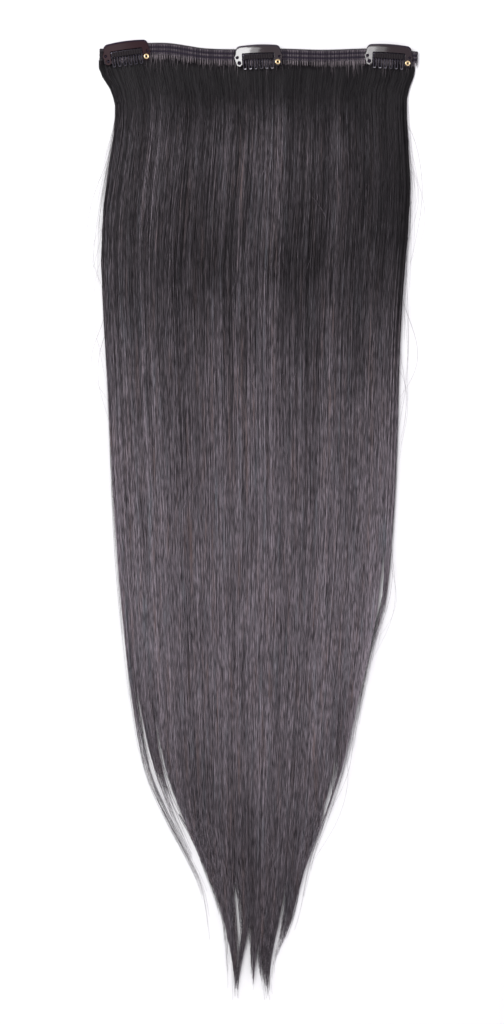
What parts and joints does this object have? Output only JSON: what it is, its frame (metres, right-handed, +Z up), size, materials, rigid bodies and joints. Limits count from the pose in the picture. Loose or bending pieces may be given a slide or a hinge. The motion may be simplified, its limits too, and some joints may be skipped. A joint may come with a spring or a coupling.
{
  "type": "clip-in hair extension weft",
  "caption": "Long straight dark hair weft lying flat: a stitched seam band with bowed snap clips along it, and a curtain of hair that narrows to separate tips.",
  "frame": {"origin": "underside of the seam band at the middle of its length, on the surface that the weft lies on", "axes": "+Y from the hair's tips towards the seam band, +Z up from the surface through the clips, +X along the band towards its right end as seen from above"},
  "size_m": [0.215, 0.6471, 0.0077],
  "materials": {
    "hair": "sleek straight hair fibre, near black with a soft sheen",
    "seam_band": "machine-stitched rows of hair and dark thread",
    "clip_plate": "glossy dark brown lacquer on spring steel",
    "clip_comb": "glossy near-black lacquer on steel wire",
    "grip": "matt black ribbed silicone",
    "eyelet": "polished"
  },
  "bodies": {
    "weft": {"hair": "hair", "seam_band": "seam_band", "left_clip_plate": "clip_plate", "left_clip_eyelet": "eyelet", "centre_clip_plate": "clip_plate", "centre_clip_eyelet": "eyelet", "right_clip_plate": "clip_plate", "right_clip_eyelet": "eyelet"},
    "left_comb": {"left_clip_comb": "clip_comb", "left_clip_grip": "grip"},
    "centre_comb": {"centre_clip_comb": "clip_comb", "centre_clip_grip": "grip"},
    "right_comb": {"right_clip_comb": "clip_comb", "right_clip_grip": "grip"}
  },
  "joints": [
    {"name": "left_clip_snap", "type": "hinge", "parent": "weft", "child": "left_comb", "pos_m": [-0.09143, 0.00212, 0.0045], "axis": [-0.9907, -0.1357, 0], "range_deg": [0, 30]},
    {"name": "centre_clip_snap", "type": "hinge", "parent": "weft", "child": "centre_comb", "pos_m": [-0.00162, -0.00022, 0.0045], "axis": [-0.9993, -0.0384, 0], "range_deg": [0, 30]},
    {"name": "right_clip_snap", "type": "hinge", "parent": "weft", "child": "right_comb", "pos_m": [0.08735, 0.00001, 0.0045], "axis": [-0.9981, 0.061, 0], "range_deg": [0, 30]}
  ]
}
